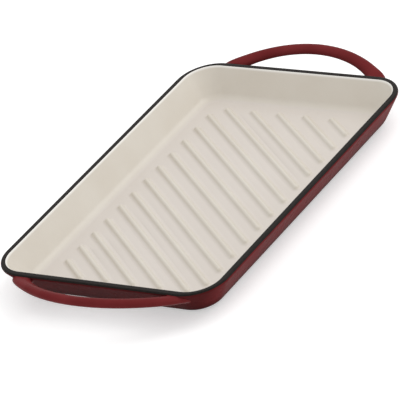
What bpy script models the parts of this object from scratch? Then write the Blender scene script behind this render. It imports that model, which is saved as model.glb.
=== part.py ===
"""Rectangular enamelled cast-iron grill plate with a ribbed floor and two loop handles.

The origin is on the underside of the base, at its centre. X runs along the plate from the front
handle to the rear one, Y across it and Z up. Sizes are those of the finished, enamelled surface.
The iron lies under it, by the thickness of the coat and a small clearance.
"""

import math

import bmesh
import bpy
from mathutils import Matrix, Vector

MM = 0.001

# Enamel coats, and the clearance between each coat and its neighbours
COAT_THICKNESS = 0.5 * MM
COAT_CLEARANCE = 0.3 * MM
BASE_COAT_THICKNESS = 0.8 * MM

# Tray, with its length and width measured over the rim
TRAY_LENGTH = 342.6 * MM
TRAY_WIDTH = 224.9 * MM
TRAY_HEIGHT = 29.5 * MM
WALL_LEAN = math.radians(33)
WALL_THICKNESS = 6.0 * MM
FLOOR_THICKNESS = 5.0 * MM

# Rim: flat on top, rounded over to the walls, black down to a seam part way round the outside
RIM_CORNER_RADIUS = 33.5 * MM
RIM_OUTER_ROUNDING = 1.8 * MM
RIM_INNER_ROUNDING = 1.3 * MM
RIM_SEAM_ANGLE = math.radians(20)

# Rounded foot of the walls, outside and inside
BASE_FILLET = 15.5 * MM
BASE_CORNER_RADIUS = 14.0 * MM
OPENING_CORNER_RADIUS = 25.5 * MM
FLOOR_FILLET = 10.0 * MM
FLOOR_CORNER_RADIUS = 12.0 * MM

# Ribs, half-round, laid aslant on the flat of the floor
RIB_PITCH = 16.7 * MM
RIB_WIDTH = 6.0 * MM
RIB_HEIGHT = 3.0 * MM
RIB_ANGLE = math.radians(52.1)
RIB_MARGIN = 10.0 * MM

# Handles: arched bars of oval section that rise away from the wall, and swell towards it.
# The swell on the outer side fades from the bar's crown to its keel.
HANDLE_SPAN = 160.0 * MM
HANDLE_REACH = 33.5 * MM
HANDLE_RISE = math.radians(17)
HANDLE_DROP = 6.8 * MM
HANDLE_WIDTH = 10.4 * MM
HANDLE_CROWN = 4.3 * MM
HANDLE_KEEL = 3.6 * MM
HANDLE_OUTER_SWELL = 4.0 * MM
HANDLE_INNER_SWELL = 3.5 * MM
OUTER_SWELL_POWER = 2.5
INNER_SWELL_POWER = 6
HANDLE_ROOT_DEPTH = 12.0 * MM

# Facets
CORNER_STEPS = 8
FILLET_STEPS = 6
ROUNDING_STEPS = 2
RIB_END_STEPS = 4
RIB_SIDE_ANGLES = (0, 30, 58, 80)
HANDLE_STEPS = 26
HANDLE_SIDES = 12

IRON_DEPTH = COAT_THICKNESS + COAT_CLEARANCE
BASE_LEVEL = BASE_COAT_THICKNESS - COAT_THICKNESS
FLOOR_LEVEL = BASE_LEVEL + FLOOR_THICKNESS
RIM_LEVEL = BASE_LEVEL + TRAY_HEIGHT
WALL_TANGENT = math.tan(WALL_LEAN)
WALL_COSINE = math.cos(WALL_LEAN)


def clear_scene():
    """Remove whatever the scene holds."""
    for item in list(bpy.data.objects):
        bpy.data.objects.remove(item, do_unlink=True)


def make_collection(name):
    """Make a collection in the scene."""
    collection = bpy.data.collections.new(name)
    bpy.context.scene.collection.children.link(collection)
    return collection


def make_material(name, colour, roughness, metallic=0.0):
    """Make a material from a colour, a roughness and a metallic value."""
    material = bpy.data.materials.new(name)
    material.use_nodes = True
    shader = material.node_tree.nodes["Principled BSDF"]
    shader.inputs["Base Color"].default_value = (*colour, 1.0)
    shader.inputs["Roughness"].default_value = roughness
    shader.inputs["Metallic"].default_value = metallic
    material.diffuse_color = (*colour, 1.0)
    return material


def add_part(name, mesh, material, parts):
    """Put a mesh in the scene as one of the object's pieces."""
    if material.name not in mesh.materials:
        mesh.materials.append(material)
    mesh.shade_smooth()
    mesh.set_sharp_from_angle(angle=math.radians(30))
    part = bpy.data.objects.new(name, mesh)
    parts.objects.link(part)
    return part


def add_cutter(name, mesh, cutters):
    """Put a mesh in the scene that only shapes other pieces."""
    cutter = bpy.data.objects.new(name, mesh)
    cutter.hide_render = True
    cutter.display_type = "WIRE"
    cutters.objects.link(cutter)
    return cutter


def combine(part, operation, tool):
    """Join another shape to a piece, or cut it out of the piece."""
    modifier = part.modifiers.new(f"{operation.lower()} {tool.name}", "BOOLEAN")
    modifier.object = tool
    modifier.operation = operation
    modifier.solver = "EXACT"


def loft(name, bodies):
    """Skin rings of points into closed bodies, each given as (rings, is_hoop).

    A hoop's last ring joins its first. Any other body is capped at both ends.
    """
    shape = bmesh.new()
    for rings, is_hoop in bodies:
        loops = [[shape.verts.new(point) for point in ring] for ring in rings]
        pairs = list(zip(loops, loops[1:]))
        if is_hoop:
            pairs.append((loops[-1], loops[0]))
        else:
            shape.faces.new(loops[0])
            shape.faces.new(loops[-1])
        for near, far in pairs:
            for i in range(len(near)):
                j = (i + 1) % len(near)
                shape.faces.new((near[i], near[j], far[j], far[i]))
    bmesh.ops.recalc_face_normals(shape, faces=shape.faces)
    mesh = bpy.data.meshes.new(name)
    shape.to_mesh(mesh)
    shape.free()
    return mesh


# The tray's section is a line of (inset, level, corner radius) points. The inset runs inwards
# from the outermost edge of the rim, and the line has the material on its right.

def outer_wall_inset(level):
    """Inset of the wall's outside at a level."""
    centre_level = RIM_LEVEL - RIM_OUTER_ROUNDING
    return RIM_OUTER_ROUNDING * (1 - 1 / WALL_COSINE) + (centre_level - level) * WALL_TANGENT


def inner_wall_inset(level):
    """Inset of the wall's inside at a level."""
    return outer_wall_inset(level) + WALL_THICKNESS / WALL_COSINE


def base_inset():
    """Inset of the edge of the flat base."""
    return outer_wall_inset(BASE_LEVEL + BASE_FILLET) + BASE_FILLET / WALL_COSINE


def opening_inset():
    """Inset of the inner edge of the rim's flat top."""
    return inner_wall_inset(RIM_LEVEL - RIM_INNER_ROUNDING) - RIM_INNER_ROUNDING / WALL_COSINE


def floor_inset():
    """Inset of the edge of the flat floor."""
    return inner_wall_inset(FLOOR_LEVEL + FLOOR_FILLET) + FLOOR_FILLET / WALL_COSINE


def arc(inset, level, radius, start, end, steps):
    """Points of an arc about a centre, by their angle below the outward direction."""
    angles = [start + (end - start) * step / steps for step in range(steps + 1)]
    return [(inset - radius * math.cos(a), level - radius * math.sin(a)) for a in angles]


def with_corner_radius(points, inset_1, radius_1, inset_2, radius_2):
    """Add a corner radius to (inset, level) points, in step with their inset."""
    slope = (radius_2 - radius_1) / (inset_2 - inset_1)
    return [(inset, level, radius_1 + (inset - inset_1) * slope) for inset, level in points]


def outside_section():
    """Outside, from the edge of the flat base to the red coat's upper edge on the rim."""
    points = arc(base_inset(), BASE_LEVEL + BASE_FILLET, BASE_FILLET, math.pi / 2, WALL_LEAN, FILLET_STEPS)
    points += arc(RIM_OUTER_ROUNDING, RIM_LEVEL - RIM_OUTER_ROUNDING, RIM_OUTER_ROUNDING,
                  WALL_LEAN, -RIM_SEAM_ANGLE, ROUNDING_STEPS)
    return with_corner_radius(points, base_inset(), BASE_CORNER_RADIUS, 0, RIM_CORNER_RADIUS)


def rim_section():
    """Rim, from the black coat's outer edge on the rounding to its inner edge on the flat top."""
    gap_angle = COAT_CLEARANCE / (RIM_OUTER_ROUNDING - COAT_THICKNESS)
    points = arc(RIM_OUTER_ROUNDING, RIM_LEVEL - RIM_OUTER_ROUNDING, RIM_OUTER_ROUNDING,
                 -RIM_SEAM_ANGLE - gap_angle, -math.pi / 2, ROUNDING_STEPS)
    points.append((opening_inset() - COAT_CLEARANCE, RIM_LEVEL))
    return with_corner_radius(points, 0, RIM_CORNER_RADIUS, opening_inset(), OPENING_CORNER_RADIUS)


def inside_section():
    """Inside, from the cream coat's upper edge on the rim to the edge of the flat floor."""
    points = arc(opening_inset(), RIM_LEVEL - RIM_INNER_ROUNDING, -RIM_INNER_ROUNDING,
                 math.pi / 2, WALL_LEAN, ROUNDING_STEPS)
    points += arc(floor_inset(), FLOOR_LEVEL + FLOOR_FILLET, FLOOR_FILLET, WALL_LEAN, math.pi / 2, FILLET_STEPS)
    return with_corner_radius(points, opening_inset(), OPENING_CORNER_RADIUS, floor_inset(), FLOOR_CORNER_RADIUS)


def sink(section, depth):
    """Move a section line into the material by a depth, keeping flat ends at its two ends."""
    travel = [Vector((-1, 0))]
    for near, far in zip(section, section[1:]):
        travel.append(Vector((far[0] - near[0], far[1] - near[1])).normalized())
    travel.append(Vector((1, 0)))
    sunk = []
    for (inset, level, radius), before, after in zip(section, travel, travel[1:]):
        inward = Vector((before.y + after.y, -before.x - after.x)).normalized()
        shift = inward * depth / inward.dot(Vector((before.y, -before.x)))
        sunk.append((inset + shift.x, level + shift.y, radius - shift.x))
    return sunk


def tray_rings(section):
    """Turn a section line into rounded rectangles about the tray's middle."""
    rings = []
    for inset, level, radius in section:
        ring = []
        for quarter in range(4):
            side_x = (1, -1, -1, 1)[quarter]
            side_y = (1, 1, -1, -1)[quarter]
            centre_x = side_x * (TRAY_LENGTH / 2 - inset - radius)
            centre_y = side_y * (TRAY_WIDTH / 2 - inset - radius)
            for step in range(CORNER_STEPS + 1):
                angle = math.pi / 2 * (quarter + step / CORNER_STEPS)
                ring.append((centre_x + radius * math.cos(angle), centre_y + radius * math.sin(angle), level))
        rings.append(ring)
    return rings


def tray_skin(depth, first, last):
    """Rings of the whole skin at a depth, from one point of the section to another."""
    section = outside_section() + rim_section() + inside_section()
    return tray_rings(sink(section, depth))[first:last]


def coat_mesh(name, first, last):
    """Hoop of enamel between two points of the section."""
    face = tray_skin(0, first, last)
    back = tray_skin(COAT_THICKNESS, first, last)
    return loft(name, [(face + back[::-1], True)])


def tray_outline(name, depth, rim_depth):
    """Closed solid of the tray's outside, for cutting what joins it."""
    outside = outside_section()
    section = outside + rim_section() + inside_section()
    walls = sink(section, depth)[:len(outside)]
    rim = sink(section, rim_depth)[len(outside):len(outside) + len(rim_section())]
    return loft(name, [(tray_rings(walls + rim), False)])


def rib_field():
    """Half length and half width of the part of the floor that the ribs cover."""
    margin = floor_inset() + RIB_MARGIN
    return TRAY_LENGTH / 2 - margin, TRAY_WIDTH / 2 - margin


def rib_lines():
    """Start and end of each rib's middle line on the floor."""
    half_length, half_width = rib_field()
    along = Vector((math.cos(RIB_ANGLE), math.sin(RIB_ANGLE)))
    across = Vector((math.sin(RIB_ANGLE), -math.cos(RIB_ANGLE)))
    count = int((half_length * across.x - half_width * across.y) / RIB_PITCH)
    lines = []
    for number in range(-count, count + 1):
        middle = across * number * RIB_PITCH
        to_sides = [(side * half_length - middle.x) / along.x for side in (-1, 1)]
        to_ends = [(side * half_width - middle.y) / along.y for side in (-1, 1)]
        start = max(to_sides[0], to_ends[0])
        end = min(to_sides[1], to_ends[1])
        if end - start > 1.5 * RIB_WIDTH:
            lines.append((middle + along * start, middle + along * end))
    return lines


def slot_ring(start, end, radius, level):
    """Round-ended outline about a middle line, half a rib's width clear of its two ends."""
    along = (end - start).normalized()
    heading = math.atan2(along.y, along.x)
    ring = []
    for centre, turn in ((end - along * RIB_WIDTH / 2, -0.5), (start + along * RIB_WIDTH / 2, 0.5)):
        for step in range(RIB_END_STEPS + 1):
            angle = heading + math.pi * (turn + step / RIB_END_STEPS)
            ring.append((centre.x + radius * math.cos(angle), centre.y + radius * math.sin(angle), level))
    return ring


def ribs_mesh(name, depth, foot_level):
    """All the ribs as separate half-round bars with domed ends, from a foot below the floor."""
    half_width = RIB_WIDTH / 2 - depth
    height = RIB_HEIGHT - depth
    bars = []
    for start, end in rib_lines():
        rings = [slot_ring(start, end, half_width, foot_level)]
        for degrees in RIB_SIDE_ANGLES:
            angle = math.radians(degrees)
            level = FLOOR_LEVEL + height * math.sin(angle)
            rings.append(slot_ring(start, end, half_width * math.cos(angle), level))
        bars.append((rings, False))
    return loft(name, bars)


def handle_frame():
    """Rear handle's own frame: X out of the wall and up the rise, Z square to the loop."""
    level = RIM_LEVEL - HANDLE_DROP
    foot = Matrix.Translation((TRAY_LENGTH / 2 - outer_wall_inset(level), 0, level))
    return foot @ Matrix.Rotation(-HANDLE_RISE, 4, "Y")


def handle_rings(depth):
    """Oval rings along the handle's arch, from inside one root to inside the other."""
    half_span = HANDLE_SPAN / 2
    wall_inset = outer_wall_inset(RIM_LEVEL - HANDLE_DROP)
    reach = (wall_inset + HANDLE_REACH) / math.cos(HANDLE_RISE) - HANDLE_WIDTH / 2
    arch_radius = (half_span ** 2 + reach ** 2) / (2 * reach)
    wall_angle = math.acos(1 - reach / arch_radius)
    end_angle = math.acos(1 - (reach + HANDLE_ROOT_DEPTH) / arch_radius)
    frame = handle_frame()
    rings = []
    for step in range(HANDLE_STEPS + 1):
        angle = end_angle * (2 * step / HANDLE_STEPS - 1)
        nearness = abs(angle) / wall_angle
        inner_swell = HANDLE_INNER_SWELL * nearness ** INNER_SWELL_POWER
        ring = []
        for side in range(HANDLE_SIDES):
            turn = 2 * math.pi * side / HANDLE_SIDES
            outer_swell = HANDLE_OUTER_SWELL * nearness ** OUTER_SWELL_POWER * (1 + math.sin(turn)) / 2
            half_width = (HANDLE_WIDTH + outer_swell + inner_swell) / 2 - depth
            half_height = (HANDLE_CROWN if turn < math.pi else HANDLE_KEEL) - depth
            arm = arch_radius + (outer_swell - inner_swell) / 2 + half_width * math.cos(turn)
            point = Vector((reach - arch_radius + arm * math.cos(angle), arm * math.sin(angle),
                            half_height * math.sin(turn)))
            ring.append(frame @ point)
        rings.append(ring)
    return rings


def turn_to_front(item):
    """Turn a copy made for the rear end round to the front end."""
    item.rotation_euler.z = math.pi


def make_tray(iron, parts, cutters):
    """Iron tray, with the ribs cast on its floor."""
    tray = add_part("tray_casting", loft("tray_casting", [(tray_skin(IRON_DEPTH, 0, None), False)]), iron, parts)
    iron_ribs = ribs_mesh("iron_ribs", IRON_DEPTH, FLOOR_LEVEL - FLOOR_THICKNESS / 2)
    combine(tray, "UNION", add_cutter("iron_ribs", iron_ribs, cutters))


def make_cooking_coat(cream, parts, cutters):
    """Cream enamel over the inside of the walls, the floor and the ribs."""
    first = len(outside_section()) + len(rim_section())
    face = tray_skin(0, first, None)
    back = tray_skin(COAT_THICKNESS, first, None)
    coat = add_part("cooking_enamel", loft("cooking_enamel", [(face[::-1] + back, False)]), cream, parts)
    shown_ribs = ribs_mesh("shown_ribs", 0, FLOOR_LEVEL - COAT_THICKNESS / 2)
    hollow_ribs = ribs_mesh("hollow_ribs", COAT_THICKNESS, FLOOR_LEVEL - 2 * COAT_THICKNESS)
    combine(coat, "UNION", add_cutter("shown_ribs", shown_ribs, cutters))
    combine(coat, "DIFFERENCE", add_cutter("hollow_ribs", hollow_ribs, cutters))


def make_rim_coat(black, parts):
    """Black enamel on the rim's flat top and part of its outer rounding."""
    first = len(outside_section())
    last = first + len(rim_section())
    add_part("rim_enamel", coat_mesh("rim_enamel", first, last), black, parts)


def make_base_coat(black, parts):
    """Black enamel on the flat base, which the plate stands on."""
    inset = base_inset() + COAT_CLEARANCE
    plate = [(inset, level, BASE_CORNER_RADIUS - COAT_CLEARANCE) for level in (0, BASE_COAT_THICKNESS)]
    add_part("base_enamel", loft("base_enamel", [(tray_rings(plate), False)]), black, parts)


def make_outer_coat(red, parts):
    """Red enamel on the outside of the walls."""
    return add_part("wall_enamel", coat_mesh("wall_enamel", 0, len(outside_section())), red, parts)


def make_handles(iron, red, outer_coat, parts, cutters):
    """Both handles: an iron loop that meets the tray through the red coat, and its own red coat."""
    tray_with_gap = tray_outline("tray_with_gap", -COAT_CLEARANCE, -COAT_CLEARANCE)
    sleeve_tool = add_cutter("tray_with_gap", tray_with_gap, cutters)
    iron_with_gap = tray_outline("iron_with_gap", COAT_THICKNESS, -COAT_CLEARANCE)
    loop_tool = add_cutter("iron_with_gap", iron_with_gap, cutters)
    loop_mesh = loft("handle_casting", [(handle_rings(IRON_DEPTH), False)])
    hole_mesh = loft("handle_hole", [(handle_rings(COAT_THICKNESS), False)])
    sleeve_rings = handle_rings(0) + handle_rings(COAT_THICKNESS)[::-1]
    sleeve_mesh = loft("handle_enamel", [(sleeve_rings, True)])
    for end in ("rear", "front"):
        loop = add_part(f"{end}_handle_casting", loop_mesh, iron, parts)
        sleeve = add_part(f"{end}_handle_enamel", sleeve_mesh, red, parts)
        hole = add_cutter(f"{end}_handle_hole", hole_mesh, cutters)
        if end == "front":
            for item in (loop, sleeve, hole):
                turn_to_front(item)
        combine(loop, "DIFFERENCE", loop_tool)
        combine(sleeve, "DIFFERENCE", sleeve_tool)
        combine(outer_coat, "DIFFERENCE", hole)


def build():
    """Make every piece of the grill plate."""
    clear_scene()
    parts = make_collection("grill_plate")
    cutters = make_collection("cutters")
    iron = make_material("cast iron", (0.05, 0.05, 0.055), 0.6, 0.8)
    cream = make_material("cream enamel", (0.70, 0.65, 0.58), 0.22)
    black = make_material("black enamel", (0.015, 0.015, 0.017), 0.35)
    red = make_material("red enamel", (0.16, 0.018, 0.024), 0.2)
    make_tray(iron, parts, cutters)
    make_cooking_coat(cream, parts, cutters)
    make_rim_coat(black, parts)
    make_base_coat(black, parts)
    outer_coat = make_outer_coat(red, parts)
    make_handles(iron, red, outer_coat, parts, cutters)


build()
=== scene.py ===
import math

import bmesh
import bpy
from mathutils import Matrix, Vector


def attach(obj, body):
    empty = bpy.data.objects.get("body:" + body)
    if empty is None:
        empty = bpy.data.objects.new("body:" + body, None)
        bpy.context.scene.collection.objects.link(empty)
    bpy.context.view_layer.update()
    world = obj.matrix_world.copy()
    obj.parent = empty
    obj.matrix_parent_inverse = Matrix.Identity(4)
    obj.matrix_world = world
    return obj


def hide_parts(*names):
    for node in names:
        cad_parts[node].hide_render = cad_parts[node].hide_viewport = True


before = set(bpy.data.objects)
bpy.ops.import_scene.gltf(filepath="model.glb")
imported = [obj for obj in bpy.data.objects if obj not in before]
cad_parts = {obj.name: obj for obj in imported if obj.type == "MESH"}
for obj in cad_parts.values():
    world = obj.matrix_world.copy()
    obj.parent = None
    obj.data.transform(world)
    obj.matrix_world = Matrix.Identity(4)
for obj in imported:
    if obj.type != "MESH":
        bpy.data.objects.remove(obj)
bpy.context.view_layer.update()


# Castings
# The tray, its ribs and its two handles are one piece of grey iron, poured in sand.
# Enamel is fired over all of it. The tray's solid stays as it is, with a sand-cast skin, and the
# handles' coats below stand for their solids too.

def add_node(material, kind, inputs=None, **settings):
    """Add a node to a material, with its settings and the values of its inputs."""
    node = material.node_tree.nodes.new(kind)
    for name, value in settings.items():
        setattr(node, name, value)
    for name, value in (inputs or {}).items():
        node.inputs[name].default_value = value
    return node


def join_nodes(material, source, output, target, entry):
    """Run one node's output into another node's input."""
    material.node_tree.links.new(source.outputs[output], target.inputs[entry])


def add_noise(material, scale, detail=3.0):
    """Add a noise that stands still in the object, with its scale in bumps per metre."""
    place = add_node(material, "ShaderNodeTexCoord")
    noise = add_node(material, "ShaderNodeTexNoise", {"Scale": scale, "Detail": detail})
    join_nodes(material, place, "Object", noise, "Vector")
    return noise


def add_range(material, source, output, low, high, source_low=0.3, source_high=0.7):
    """Turn an output into a number between two values."""
    span = add_node(material, "ShaderNodeMapRange", {
        "From Min": source_low, "From Max": source_high, "To Min": low, "To Max": high})
    join_nodes(material, source, output, span, "Value")
    return span


def add_ramp(material, source, output, stops):
    """Turn an output into a colour by stops of (place, colour)."""
    ramp = add_node(material, "ShaderNodeValToRGB")
    while len(ramp.color_ramp.elements) < len(stops):
        ramp.color_ramp.elements.new(0.5)
    for element, (place, colour) in zip(ramp.color_ramp.elements, stops):
        element.position = place
        element.color = (*colour, 1.0)
    join_nodes(material, source, output, ramp, "Fac")
    return ramp


def add_place(material, axis):
    """Read how far from the object's origin a point lies along one axis."""
    place = add_node(material, "ShaderNodeTexCoord")
    axes = add_node(material, "ShaderNodeSeparateXYZ")
    distance = add_node(material, "ShaderNodeMath", operation="ABSOLUTE")
    join_nodes(material, place, "Object", axes, "Vector")
    join_nodes(material, axes, axis, distance, 0)
    return distance


def tint_colour(material, source, output, share, tint):
    """Mix a share, given by a node's result, of a tint into a colour."""
    mixed = add_node(material, "ShaderNodeMix", data_type="RGBA")
    join_nodes(material, share, "Result", mixed, 0)
    join_nodes(material, source, output, mixed, 6)
    mixed.inputs[7].default_value = (*tint, 1.0)
    return mixed


def add_bumps(material, layers):
    """Stack bumps, each given as (source, output, height in metres), on the shader's normal."""
    shader = material.node_tree.nodes["Principled BSDF"]
    below = None
    for source, output, height in layers:
        bump = add_node(material, "ShaderNodeBump", {"Strength": 1.0, "Distance": height})
        join_nodes(material, source, output, bump, "Height")
        if below:
            join_nodes(material, below, "Normal", bump, "Normal")
        below = bump
    join_nodes(material, below, "Normal", shader, "Normal")


def make_finish(name, **values):
    """Make a material with a Principled shader and the values of its own sockets."""
    material = bpy.data.materials.new(name)
    material.use_nodes = True
    shader = material.node_tree.nodes["Principled BSDF"]
    for socket, value in values.items():
        shader.inputs[socket.replace("_", " ")].default_value = value
    return material, shader


sand_cast_iron, iron_shader = make_finish("sand_cast_iron", Metallic=0.9, Roughness=0.55)
grain = add_noise(sand_cast_iron, 900.0, 6.0)
iron_colour = add_ramp(sand_cast_iron, grain, "Fac", [
    (0.3, (0.028, 0.028, 0.031)),
    (0.7, (0.075, 0.074, 0.078)),
])
join_nodes(sand_cast_iron, iron_colour, "Color", iron_shader, "Base Color")
iron_roughness = add_range(sand_cast_iron, grain, "Fac", 0.45, 0.7)
join_nodes(sand_cast_iron, iron_roughness, "Result", iron_shader, "Roughness")
add_bumps(sand_cast_iron, [(grain, "Fac", 0.0002)])
for slot in bpy.data.objects["tray_casting"].material_slots:
    slot.material = sand_cast_iron


# Cooking surface
# Cream enamel over the inside of the walls, the floor and its slanting half-round ribs.
# It is a glassy coat, with a painted highlight over the lip of the opening, and a little rosier
# on the flat floor than on the ribs and the walls.

COAT_THICKNESS = 0.0005
HALF_LENGTH = 0.1713
HALF_WIDTH = 0.11245
RIM_LEVEL = 0.0298
FLOOR_LEVEL = 0.0053
WALL_LEAN = math.radians(33)
OPENING_INSET = 0.00493
OPENING_ROUNDING = 0.0013
OPENING_CORNER = 0.0255
OPENING_SEAM = math.radians(25)
FLOOR_INSET = 0.02698
FLOOR_FILLET = 0.010
FLOOR_CORNER = 0.012
CORNER_SEGMENTS = 24
FLAT_BORDER = 0.0004
BRIDGING_LIFT = 0.05


def round_over(inset, level, radius, start, end, steps):
    """Points (inset, level) of an arc about a centre, by their angle below the outward direction."""
    angles = [start + (end - start) * step / steps for step in range(steps + 1)]
    return [(inset - radius * math.cos(angle), level - radius * math.sin(angle)) for angle in angles]


def with_corners(points, inset_1, corner_1, inset_2, corner_2):
    """Give (inset, level) points a corner radius in step with their inset."""
    slope = (corner_2 - corner_1) / (inset_2 - inset_1)
    return [(inset, level, corner_1 + (inset - inset_1) * slope) for inset, level in points]


def hold_ends(points):
    """Add a point just inside each end of a line's longest stretch, to keep it straight."""
    lengths = [math.dist(a, b) for a, b in zip(points, points[1:])]
    longest = lengths.index(max(lengths))
    (inset_1, level_1), (inset_2, level_2) = points[longest:longest + 2]
    held = []
    for share in (FLAT_BORDER / lengths[longest], 1 - FLAT_BORDER / lengths[longest]):
        held.append((inset_1 + (inset_2 - inset_1) * share, level_1 + (level_2 - level_1) * share))
    return points[:longest + 1] + held + points[longest + 1:]


def draw_outline(inset, level, corner):
    """Draw a rounded rectangle in the mesh being edited, inset from the rim's outer edge."""
    bpy.ops.mesh.select_all(action="DESELECT")
    bpy.ops.mesh.primitive_plane_add(size=2, location=(0, 0, level))
    bpy.ops.transform.resize(value=(HALF_LENGTH - inset, HALF_WIDTH - inset, 1),
                             center_override=(0, 0, level))
    bpy.ops.mesh.bevel(offset_type="OFFSET", offset=corner, segments=CORNER_SEGMENTS, affect="VERTICES")


def select_open_edges():
    """Select the loose edges and the open boundaries of the mesh being edited."""
    bpy.ops.mesh.select_non_manifold(extend=False, use_multi_face=False, use_non_contiguous=False,
                                     use_verts=False)


def skin_outlines(name, outlines):
    """Skin rounded rectangles, one after another, into a closed shape with two flat ends."""
    bpy.ops.object.select_all(action="DESELECT")
    bpy.ops.mesh.primitive_plane_add(size=2)
    piece = bpy.context.object
    piece.name = name
    bpy.ops.object.mode_set(mode="EDIT")
    bpy.ops.mesh.select_mode(type="VERT")
    bpy.ops.mesh.delete(type="VERT")
    draw_outline(*outlines[0])
    for inset, level, corner in outlines[1:]:
        draw_outline(inset, level + BRIDGING_LIFT, corner)
        bpy.ops.mesh.delete(type="ONLY_FACE")
        select_open_edges()
        bpy.ops.mesh.bridge_edge_loops()
        select_open_edges()
        bpy.ops.transform.translate(value=(0, 0, -BRIDGING_LIFT))
    bpy.ops.mesh.edge_face_add()
    bpy.ops.mesh.select_all(action="SELECT")
    bpy.ops.mesh.normals_make_consistent(inside=False)
    bpy.ops.object.mode_set(mode="OBJECT")
    return piece


def select_faces(piece, wanted):
    """In edit mode, select just the faces that a test picks."""
    bpy.ops.mesh.select_mode(type="FACE")
    bpy.ops.mesh.select_all(action="DESELECT")
    shape = bmesh.from_edit_mesh(piece.data)
    for face in shape.faces:
        face.select = wanted(face)
    bmesh.update_edit_mesh(piece.data)


def apply_modifier(piece, kind, **settings):
    """Give a piece a modifier and apply it."""
    modifier = piece.modifiers.new(kind.lower(), kind)
    for name, value in settings.items():
        setattr(modifier, name, value)
    bpy.context.view_layer.objects.active = piece
    bpy.ops.object.modifier_apply(modifier=modifier.name)


def coat_inwards(piece):
    """Give an open skin the thickness of a coat, on its back."""
    apply_modifier(piece, "SOLIDIFY", thickness=COAT_THICKNESS, offset=-1, use_quality_normals=True)


def finish_piece(piece, material, slot, *nodes):
    """Shade a piece, give it its material and let it stand for its CAD nodes."""
    bpy.ops.object.select_all(action="DESELECT")
    piece.select_set(True)
    bpy.context.view_layer.objects.active = piece
    bpy.ops.object.shade_smooth_by_angle(angle=math.radians(40))
    piece.data.materials.clear()
    piece.data.materials.append(material)
    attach(piece, "root")
    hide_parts(*nodes)


hollow_line = round_over(OPENING_INSET, RIM_LEVEL - OPENING_ROUNDING, -OPENING_ROUNDING,
                         math.pi / 2 - OPENING_SEAM, WALL_LEAN, 6)
hollow_line += round_over(FLOOR_INSET, FLOOR_LEVEL + FLOOR_FILLET, FLOOR_FILLET, WALL_LEAN, math.pi / 2, 16)
hollow_line = hold_ends(hollow_line)
hollow_line.append((FLOOR_INSET + FLAT_BORDER, FLOOR_LEVEL))
cooking_surface = skin_outlines("cooking_surface", with_corners(
    hollow_line, OPENING_INSET, OPENING_CORNER, FLOOR_INSET, FLOOR_CORNER))

RIB_PITCH = 0.0167
RIB_ANGLE = math.radians(52.1)
RIB_MARGIN = 0.010
RIB_HALF_WIDTH = 0.003
RIB_DOME = 0.0029
RIB_RISE = 0.0027
RIB_FOOT = 0.004
RIB_END_STEPS = 12
IMPRINT = 0.0001

foot_reach = math.sqrt((RIB_DOME + RIB_FOOT) ** 2 - (RIB_FOOT - RIB_RISE + RIB_DOME) ** 2)
rib_outline = foot_reach + FLAT_BORDER / 2


def add_rib_stamp(start, end):
    """Add a round-ended bar from under the floor to just above it, about a rib's middle line."""
    half_length = math.dist(start, end) / 2
    bpy.ops.object.select_all(action="DESELECT")
    bpy.ops.mesh.primitive_plane_add(size=2, location=(0, 0, -COAT_THICKNESS))
    bpy.ops.object.transform_apply(location=True, rotation=True, scale=True)
    stamp = bpy.context.object
    bpy.ops.object.mode_set(mode="EDIT")
    bpy.ops.mesh.select_mode(type="VERT")
    bpy.ops.transform.resize(value=(half_length - RIB_HALF_WIDTH + rib_outline, rib_outline, 1),
                             center_override=(0, 0, 0))
    bpy.ops.mesh.bevel(offset_type="OFFSET", offset=rib_outline, segments=RIB_END_STEPS, affect="VERTICES")
    bpy.ops.mesh.remove_doubles(threshold=0.00001)
    bpy.ops.mesh.extrude_region_move(TRANSFORM_OT_translate={"value": (0, 0, COAT_THICKNESS + IMPRINT)})
    bpy.ops.mesh.select_all(action="SELECT")
    bpy.ops.mesh.normals_make_consistent(inside=False)
    bpy.ops.object.mode_set(mode="OBJECT")
    stamp.location = ((start[0] + end[0]) / 2, (start[1] + end[1]) / 2, FLOOR_LEVEL)
    stamp.rotation_euler.z = math.atan2(end[1] - start[1], end[0] - start[0])
    bpy.ops.object.transform_apply(location=True, rotation=True, scale=True)
    return stamp


field_length = HALF_LENGTH - FLOOR_INSET - RIB_MARGIN
field_width = HALF_WIDTH - FLOOR_INSET - RIB_MARGIN
along_x, along_y = math.cos(RIB_ANGLE), math.sin(RIB_ANGLE)
rib_count = int((field_length * along_y + field_width * along_x) / RIB_PITCH)
stamps = []
for number in range(-rib_count, rib_count + 1):
    middle_x, middle_y = along_y * number * RIB_PITCH, -along_x * number * RIB_PITCH
    first = max((-field_length - middle_x) / along_x, (-field_width - middle_y) / along_y)
    last = min((field_length - middle_x) / along_x, (field_width - middle_y) / along_y)
    if last - first > 3 * RIB_HALF_WIDTH:
        ends = [(middle_x + along_x * place, middle_y + along_y * place) for place in (first, last)]
        stamps.append(add_rib_stamp(*ends))
bpy.ops.object.select_all(action="DESELECT")
for stamp in stamps:
    stamp.select_set(True)
bpy.context.view_layer.objects.active = stamps[0]
bpy.ops.object.join()
rib_stamps = bpy.context.object
apply_modifier(cooking_surface, "BOOLEAN", object=rib_stamps, operation="DIFFERENCE", solver="EXACT")
bpy.data.objects.remove(rib_stamps, do_unlink=True)

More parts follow.
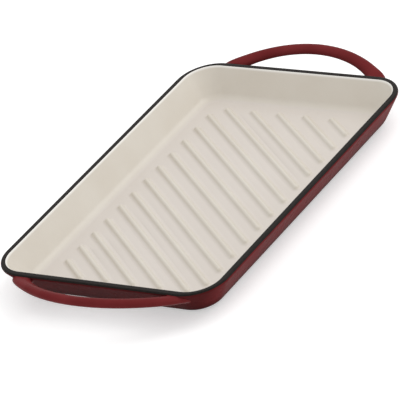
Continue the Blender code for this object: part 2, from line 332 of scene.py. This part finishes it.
bpy.ops.object.select_all(action="DESELECT")
cooking_surface.select_set(True)
bpy.ops.object.mode_set(mode="EDIT")
bpy.ops.mesh.select_all(action="SELECT")
bpy.ops.mesh.normals_make_consistent(inside=True)
lip_level = RIM_LEVEL - OPENING_ROUNDING
select_faces(cooking_surface, lambda face: face.calc_center_median().z > lip_level and len(face.verts) > 4)
bpy.ops.mesh.delete(type="ONLY_FACE")
stamp_level = FLOOR_LEVEL + IMPRINT
select_faces(cooking_surface, lambda face: abs(face.calc_center_median().z - stamp_level) < IMPRINT / 10)
bpy.ops.transform.translate(value=(0, 0, -IMPRINT))
bpy.ops.mesh.inset(thickness=FLAT_BORDER, depth=0, use_individual=True)
dome_angle = math.asin((RIB_FOOT - RIB_RISE + RIB_DOME) / (RIB_DOME + RIB_FOOT))
rib_line = [(foot_reach - RIB_FOOT * math.sin(slope), RIB_FOOT * (1 - math.cos(slope)))
            for slope in [(math.pi / 2 - dome_angle) * step / 5 for step in range(6)]]
rib_line += [(RIB_DOME * math.cos(angle), RIB_RISE - RIB_DOME + RIB_DOME * math.sin(angle))
             for angle in [dome_angle + (math.radians(85) - dome_angle) * step / 8 for step in range(1, 9)]]
for (reach_1, height_1), (reach_2, height_2) in zip(rib_line, rib_line[1:]):
    bpy.ops.mesh.inset(thickness=reach_1 - reach_2, depth=height_2 - height_1, use_individual=True)
bpy.ops.mesh.select_all(action="SELECT")
bpy.ops.mesh.remove_doubles(threshold=IMPRINT / 10)
bpy.ops.object.mode_set(mode="OBJECT")
coat_inwards(cooking_surface)

# The lip's painted highlight fades in between the first two heights below the rim; the floor's rosier tone
# fades out between the two heights above the floor.
LIP_HIGHLIGHT_START = 0.002
LIP_HIGHLIGHT_FULL = 0.0006
FLOOR_TINT_FULL = 0.0002
FLOOR_TINT_END = 0.0012

cream_enamel, cream_shader = make_finish("cream_enamel", Roughness=0.3, IOR=1.5, Specular_IOR_Level=0.4)
cream_cloud = add_noise(cream_enamel, 28.0, 4.0)
cream_speck = add_noise(cream_enamel, 700.0, 3.0)
cream_colour = add_ramp(cream_enamel, cream_cloud, "Fac", [
    (0.3, (0.665, 0.612, 0.532)),
    (0.7, (0.695, 0.648, 0.573)),
])
cream_height = add_place(cream_enamel, "Z")
# Painted highlight: the cream is lightened towards the top of the lip, where its rounded edge catches the
# light.
lip_highlight_share = add_range(cream_enamel, cream_height, "Value", 0, 1,
                   RIM_LEVEL - LIP_HIGHLIGHT_START, RIM_LEVEL - LIP_HIGHLIGHT_FULL)
lip_painted_highlight = tint_colour(cream_enamel, cream_colour, "Color", lip_highlight_share, (0.9, 0.88, 0.83))
on_floor = add_range(cream_enamel, cream_height, "Value", 0.6, 0,
                     FLOOR_LEVEL + FLOOR_TINT_FULL, FLOOR_LEVEL + FLOOR_TINT_END)
floor_colour = tint_colour(cream_enamel, lip_painted_highlight, 2, on_floor, (0.68, 0.62, 0.58))
join_nodes(cream_enamel, floor_colour, 2, cream_shader, "Base Color")
cream_gloss = add_range(cream_enamel, cream_cloud, "Fac", 0.28, 0.4)
join_nodes(cream_enamel, cream_gloss, "Result", cream_shader, "Roughness")
add_bumps(cream_enamel, [(cream_speck, "Fac", 0.00004), (add_noise(cream_enamel, 180.0, 2.0), "Fac", 0.0001)])
finish_piece(cooking_surface, cream_enamel, "cream_enamel", "cooking_enamel")


# Outer wall
# Dark red enamel round the outside of the flared walls, from the base's edge to under the rim.
# Its colour is darkened by painted shade towards the foot, and at the ends under the handles.

BASE_LEVEL = 0.0003
BASE_INSET = 0.02606
BASE_FILLET = 0.0155
BASE_CORNER = 0.014
RIM_CORNER = 0.0335
RIM_ROUNDING = 0.0018
RIM_SEAM = math.radians(20)
# Painted shade: a near-black red mixed into the wall at the ends, under the handles, and towards the foot.
PAINTED_SHADE_RED = (0.02, 0.004, 0.004)
END_SHADE_START = 0.146
END_SHADE_FULL = 0.160
FOOT_SHADE_FULL = 0.002
FOOT_SHADE_END = 0.013

wall_line = round_over(BASE_INSET, BASE_LEVEL + BASE_FILLET, BASE_FILLET, math.pi / 2, WALL_LEAN, 24)
wall_line += round_over(RIM_ROUNDING, RIM_LEVEL - RIM_ROUNDING, RIM_ROUNDING, WALL_LEAN, -RIM_SEAM, 8)
wall_line = hold_ends(wall_line)
outer_wall = skin_outlines("outer_wall", with_corners(wall_line, BASE_INSET, BASE_CORNER, 0, RIM_CORNER))
bpy.ops.object.select_all(action="DESELECT")
outer_wall.select_set(True)
bpy.ops.object.duplicate()
wall_form = bpy.context.object


def open_ends(piece):
    """Take the two flat ends off a closed skin."""
    bpy.ops.object.select_all(action="DESELECT")
    piece.select_set(True)
    bpy.context.view_layer.objects.active = piece
    bpy.ops.object.mode_set(mode="EDIT")
    select_faces(piece, lambda face: len(face.verts) > 4)
    bpy.ops.mesh.delete(type="ONLY_FACE")
    bpy.ops.object.mode_set(mode="OBJECT")


open_ends(outer_wall)
coat_inwards(outer_wall)

def make_red(name, shine):
    """Make a finish of dark red enamel, whose colour isn't joined yet."""
    material, shader = make_finish(name, Roughness=0.3, IOR=1.5, Specular_IOR_Level=shine)
    cloud = add_noise(material, 40.0, 4.0)
    colour = add_ramp(material, cloud, "Fac", [(0.3, (0.14, 0.018, 0.019)), (0.7, (0.18, 0.026, 0.028))])
    gloss = add_range(material, cloud, "Fac", 0.22, 0.34)
    join_nodes(material, gloss, "Result", shader, "Roughness")
    add_bumps(material, [(add_noise(material, 700.0), "Fac", 0.00004),
                         (add_noise(material, 180.0, 2.0), "Fac", 0.0001)])
    return material, shader, colour


# A copy of the red enamel that carries painted shade, used only on the outer wall.
wall_red_painted_shade, wall_shader, wall_colour = make_red("wall_red_painted_shade", 0.004)
# Painted shade, not a colour of the enamel: darker at the ends under the handles and towards the foot.
end_shade_share = add_range(wall_red_painted_shade, add_place(wall_red_painted_shade, "X"), "Value", 0, 0.5, END_SHADE_START, END_SHADE_FULL)
end_painted_shade = tint_colour(wall_red_painted_shade, wall_colour, "Color", end_shade_share, PAINTED_SHADE_RED)
foot_shade_share = add_range(wall_red_painted_shade, add_place(wall_red_painted_shade, "Z"), "Value", 0.65, 0, FOOT_SHADE_FULL, FOOT_SHADE_END)
foot_painted_shade = tint_colour(wall_red_painted_shade, end_painted_shade, 2, foot_shade_share, PAINTED_SHADE_RED)
join_nodes(wall_red_painted_shade, foot_painted_shade, 2, wall_shader, "Base Color")
finish_piece(outer_wall, wall_red_painted_shade, "red_enamel", "wall_enamel")


# Rim
# Black enamel on the flat top of the rim and just over both its edges, where the other coats stop.
# It is the ground coat, fired first and left showing, so it is thinner and more satin.

rim_line = round_over(RIM_ROUNDING, RIM_LEVEL - RIM_ROUNDING, RIM_ROUNDING, -RIM_SEAM, -math.pi / 2, 12)
rim_line = hold_ends(rim_line + [(OPENING_INSET, RIM_LEVEL)])
rim_outlines = with_corners(rim_line, 0, RIM_CORNER, OPENING_INSET, OPENING_CORNER)
lip_line = round_over(OPENING_INSET, RIM_LEVEL - OPENING_ROUNDING, -OPENING_ROUNDING,
                      math.pi / 2, math.pi / 2 - OPENING_SEAM, 3)
rim_outlines += with_corners(lip_line[1:], OPENING_INSET, OPENING_CORNER, FLOOR_INSET, FLOOR_CORNER)
rim = skin_outlines("rim", rim_outlines)
open_ends(rim)
coat_inwards(rim)

black_enamel, black_shader = make_finish("black_enamel", Roughness=0.35, IOR=1.5, Specular_IOR_Level=0.06)
black_grain = add_noise(black_enamel, 500.0, 4.0)
black_colour = add_ramp(black_enamel, black_grain, "Fac", [
    (0.3, (0.010, 0.008, 0.007)),
    (0.7, (0.020, 0.016, 0.014)),
])
join_nodes(black_enamel, black_colour, "Color", black_shader, "Base Color")
black_gloss = add_range(black_enamel, black_grain, "Fac", 0.28, 0.42)
join_nodes(black_enamel, black_gloss, "Result", black_shader, "Roughness")
add_bumps(black_enamel, [(black_grain, "Fac", 0.00008)])
finish_piece(rim, black_enamel, "black_enamel", "rim_enamel")


# Underside
# Black ground enamel on the flat base that the plate stands on, with a softly rounded edge.
# It carries the fine dimples of the sand mould under it.

base_line = round_over(BASE_INSET + BASE_LEVEL, BASE_LEVEL, BASE_LEVEL, math.pi / 2, 0, 5)
base_line.append((BASE_INSET, 0.0008))
base_coat = skin_outlines("base_coat", [(inset, level, BASE_CORNER) for inset, level in base_line])
finish_piece(base_coat, black_enamel, "black_enamel", "base_enamel")


# Handles
# Arched loops cast in one with the tray, one at each short end, of oval section.
# Their roots swell and run smoothly into the wall, and the red enamel runs on over them.

HANDLE_SPAN = 0.160
HANDLE_REACH = 0.0335
HANDLE_RISE = math.radians(17)
HANDLE_DROP = 0.0068
BAR_WIDTH = 0.0104
BAR_CROWN = 0.0043
BAR_KEEL = 0.0036
OUTER_SWELL = 0.004
INNER_SWELL = 0.0035
BAR_SIDES = 24
BAR_RINGS = 30
CAGE_STATIONS = 13
ROOT_DEPTH = 0.012
ROOT_FILLET = 0.0025
OUTER_SWELL_POWER = 2.5
INNER_SWELL_POWER = 6
ROOT_END = 1.1
END_OUTER_SHARE = 0.25
SKIRT_STEPS = ((1.12, 1.15), (1.06, 1.1))
SKIRT_MIDDLE_Y = 0.085
SKIRT_MIDDLE_Z = 0.0255
WALL_TOUCH = 0.000002
WALL_GAP = 0.00005
SMOOTHING_GAIN = 3 / (2 + math.cos(math.tau / BAR_SIDES))

foot_level = RIM_LEVEL - HANDLE_DROP
foot_inset = RIM_ROUNDING * (1 - 1 / math.cos(WALL_LEAN))
foot_inset += (HANDLE_DROP - RIM_ROUNDING) * math.tan(WALL_LEAN)
arch_reach = (foot_inset + HANDLE_REACH) / math.cos(HANDLE_RISE) - BAR_WIDTH / 2
arch_radius = ((HANDLE_SPAN / 2) ** 2 + arch_reach ** 2) / (2 * arch_reach)
root_angle = math.acos(1 - arch_reach / arch_radius)
root_distance = arch_radius * root_angle

# A straight bar of even rings, long enough to end inside the wall
bar_reach = arch_radius * math.acos(1 - (arch_reach + ROOT_DEPTH) / arch_radius)
bpy.ops.object.select_all(action="DESELECT")
bpy.ops.mesh.primitive_cylinder_add(vertices=BAR_SIDES, radius=1, depth=2 * bar_reach,
                                    rotation=(0, math.pi / 2, 0), end_fill_type="NGON")
rear_handle = bpy.context.object
rear_handle.name = "rear_handle"
bpy.ops.object.transform_apply(location=True, rotation=True, scale=True)
bpy.ops.object.mode_set(mode="EDIT")
half_width = BAR_WIDTH / 2 * SMOOTHING_GAIN
half_height = (BAR_CROWN + BAR_KEEL) / 2 * SMOOTHING_GAIN
bpy.ops.transform.resize(value=(1, half_width, half_height), center_override=(0, 0, 0))
bpy.ops.transform.translate(value=(0, 0, (BAR_CROWN - BAR_KEEL) / 2))
for number in range(1, BAR_RINGS):
    bpy.ops.mesh.select_all(action="SELECT")
    bpy.ops.mesh.bisect(plane_co=(bar_reach * (2 * number / BAR_RINGS - 1), 0, 0), plane_no=(1, 0, 0))
bpy.ops.object.mode_set(mode="OBJECT")

# A cage round the bar. Its points are pulled out towards the roots, and drawn in at the hidden
# ends, so that the outer edge runs into the wall's corner
bpy.ops.object.select_all(action="DESELECT")
bpy.ops.object.add(type="LATTICE", location=(0, 0, (BAR_CROWN - BAR_KEEL) / 2))
cage = bpy.context.object
cage.scale = (2 * bar_reach, BAR_WIDTH, BAR_CROWN + BAR_KEEL)
cage.data.points_u = CAGE_STATIONS
cage.data.interpolation_type_u = "KEY_CARDINAL"
cage.data.interpolation_type_v = "KEY_LINEAR"
cage.data.interpolation_type_w = "KEY_LINEAR"
for point in cage.data.points:
    nearness = abs(point.co.x) * 2 * bar_reach / root_distance
    if point.co.y > 0:
        point.co_deform.y += INNER_SWELL / BAR_WIDTH * nearness ** INNER_SWELL_POWER
    elif nearness > ROOT_END:
        point.co_deform.y = -END_OUTER_SHARE
    elif point.co.z > 0:
        point.co_deform.y -= OUTER_SWELL / BAR_WIDTH * nearness ** OUTER_SWELL_POWER
apply_modifier(rear_handle, "LATTICE", object=cage)
bpy.data.objects.remove(cage, do_unlink=True)

# Bent to the arch, put in its place and cut off at the wall
apply_modifier(rear_handle, "SIMPLE_DEFORM", deform_method="BEND", deform_axis="Z",
               angle=2 * bar_reach / arch_radius)
apply_modifier(rear_handle, "SUBSURF", levels=2, render_levels=2)
rear_handle.matrix_world = (Matrix.Translation((HALF_LENGTH - foot_inset, 0, foot_level))
                            @ Matrix.Rotation(-HANDLE_RISE, 4, "Y")
                            @ Matrix.Translation((arch_reach, 0, 0)) @ Matrix.Rotation(math.pi / 2, 4, "Z"))
bpy.ops.object.select_all(action="DESELECT")
rear_handle.select_set(True)
bpy.ops.object.transform_apply(location=True, rotation=True, scale=True)
apply_modifier(rear_handle, "BOOLEAN", object=wall_form, operation="DIFFERENCE", solver="EXACT")


def height_on_wall(place):
    """Distance of a point from the outer wall."""
    return (place - wall_form.closest_point_on_mesh(place)[1]).length


# A skirt that spreads over the wall from each root, smoothed into the bar
rear_handle.vertex_groups.new(name="on_wall")
bpy.ops.object.mode_set(mode="EDIT")
select_faces(rear_handle, lambda face: height_on_wall(face.calc_center_median()) < WALL_TOUCH)
bpy.ops.mesh.delete(type="FACE")
bpy.ops.mesh.select_mode(type="VERT")
for end in (-1, 1):
    bpy.ops.mesh.select_all(action="DESELECT")
    shape = bmesh.from_edit_mesh(rear_handle.data)
    for edge in shape.edges:
        edge.select = edge.is_boundary and edge.verts[0].co.y * end > 0
    shape.select_flush(True)
    bmesh.update_edit_mesh(rear_handle.data)
    bpy.ops.object.vertex_group_assign()
    for stretch, height in SKIRT_STEPS:
        bpy.ops.mesh.extrude_edges_move()
        bpy.ops.transform.resize(value=(1, stretch, height),
                                 center_override=(0, end * SKIRT_MIDDLE_Y, SKIRT_MIDDLE_Z))
        bpy.ops.object.vertex_group_assign()
bpy.ops.mesh.select_all(action="SELECT")
bpy.ops.mesh.normals_make_consistent(inside=False)
bpy.ops.object.mode_set(mode="OBJECT")
apply_modifier(rear_handle, "SHRINKWRAP", target=wall_form, wrap_method="NEAREST_SURFACEPOINT",
               wrap_mode="ABOVE_SURFACE", offset=WALL_GAP, vertex_group="on_wall")
bpy.ops.object.mode_set(mode="EDIT")
bpy.ops.mesh.select_mode(type="VERT")
shape = bmesh.from_edit_mesh(rear_handle.data)
for point in shape.verts:
    point.select = not point.is_boundary and height_on_wall(point.co) < ROOT_FILLET
shape.select_flush(True)
bmesh.update_edit_mesh(rear_handle.data)
bpy.ops.mesh.vertices_smooth(factor=0.5, repeat=30)
bpy.ops.object.mode_set(mode="OBJECT")
apply_modifier(rear_handle, "SHRINKWRAP", target=wall_form, wrap_method="NEAREST_SURFACEPOINT",
               wrap_mode="OUTSIDE", offset=WALL_GAP)
bpy.data.objects.remove(wall_form, do_unlink=True)
coat_inwards(rear_handle)
bpy.ops.object.select_all(action="DESELECT")
rear_handle.select_set(True)
bpy.context.view_layer.objects.active = rear_handle
bpy.ops.object.duplicate()
front_handle = bpy.context.object
front_handle.name = "front_handle"
front_handle.rotation_euler.z = math.pi
bpy.ops.object.transform_apply(location=True, rotation=True, scale=True)
red_enamel, red_shader, red_colour = make_red("red_enamel", 0.015)
join_nodes(red_enamel, red_colour, "Color", red_shader, "Base Color")
finish_piece(rear_handle, red_enamel, "red_enamel", "rear_handle_enamel", "rear_handle_casting")
finish_piece(front_handle, red_enamel, "red_enamel", "front_handle_enamel", "front_handle_casting")


# Studio
# A pale level table under a wide soft lamp at the back on the right, in an even white room.
# The camera looks down over the front left corner.

table_white, table_shader = make_finish("table_white", Roughness=0.6)
table_shader.inputs["Base Color"].default_value = (0.8, 0.8, 0.8, 1.0)
bpy.ops.object.select_all(action="DESELECT")
bpy.ops.mesh.primitive_plane_add(size=40, location=(0, 0, 0))
table = bpy.context.object
table.name = "table"
table.data.materials.append(table_white)
glow = add_node(table_white, "ShaderNodeEmission", {"Strength": 0.45})
lifted = add_node(table_white, "ShaderNodeAddShader")
join_nodes(table_white, table_shader, "BSDF", lifted, 0)
join_nodes(table_white, glow, "Emission", lifted, 1)

room = bpy.data.worlds.new("room")
bpy.context.scene.world = room
room.use_nodes = True
room_light = room.node_tree.nodes["Background"]
room_light.inputs["Strength"].default_value = 0.79
room_light.inputs["Color"].default_value = (1.0, 1.0, 1.0, 1.0)
backdrop = add_node(room, "ShaderNodeBackground", {"Color": (1.0, 1.0, 1.0, 1.0), "Strength": 1.0})


def show_when_seen(material, unseen, unseen_output, seen, seen_output, output):
    """Show one shader to the camera and in gloss and glass, and another to soft light."""
    light_path = add_node(material, "ShaderNodeLightPath")
    seen_directly = add_node(material, "ShaderNodeMath", operation="MAXIMUM")
    seen_anyhow = add_node(material, "ShaderNodeMath", operation="MAXIMUM")
    shown = add_node(material, "ShaderNodeMixShader")
    join_nodes(material, light_path, "Is Camera Ray", seen_directly, 0)
    join_nodes(material, light_path, "Is Glossy Ray", seen_directly, 1)
    join_nodes(material, seen_directly, "Value", seen_anyhow, 0)
    join_nodes(material, light_path, "Is Transmission Ray", seen_anyhow, 1)
    join_nodes(material, seen_anyhow, "Value", shown, "Fac")
    join_nodes(material, unseen, unseen_output, shown, 1)
    join_nodes(material, seen, seen_output, shown, 2)
    join_nodes(material, shown, "Shader", material.node_tree.nodes[output], "Surface")


show_when_seen(table_white, table_shader, "BSDF", lifted, "Shader", "Material Output")
show_when_seen(room, room_light, "Background", backdrop, "Background", "World Output")

LAMP_PLACE = Vector((1.1, -0.9, 1.7))
bpy.ops.object.light_add(type="AREA", location=LAMP_PLACE)
key_lamp = bpy.context.object
key_lamp.name = "key_lamp"
key_lamp.data.shape = "DISK"
key_lamp.data.size = 1.8
key_lamp.data.energy = 16
key_lamp.rotation_euler = LAMP_PLACE.to_track_quat("Z", "Y").to_euler()

camera_right = (0.51302, -0.82455, -0.23861)
camera_up = (0.53705, 0.09146, 0.83858)
camera_back = (-0.66962, -0.55835, 0.48974)
camera_data = bpy.data.cameras.new("camera")
camera_data.lens = 396.5
camera_data.sensor_width = 36
camera_data.clip_end = 100
camera = bpy.data.objects.new("camera", camera_data)
bpy.context.collection.objects.link(camera)
camera.matrix_world = (Matrix.Translation((-2.5105, -2.0839, 1.8384))
                       @ Matrix((camera_right, camera_up, camera_back)).transposed().to_4x4())
bpy.context.scene.camera = camera
bpy.context.scene.view_settings.view_transform = "Standard"
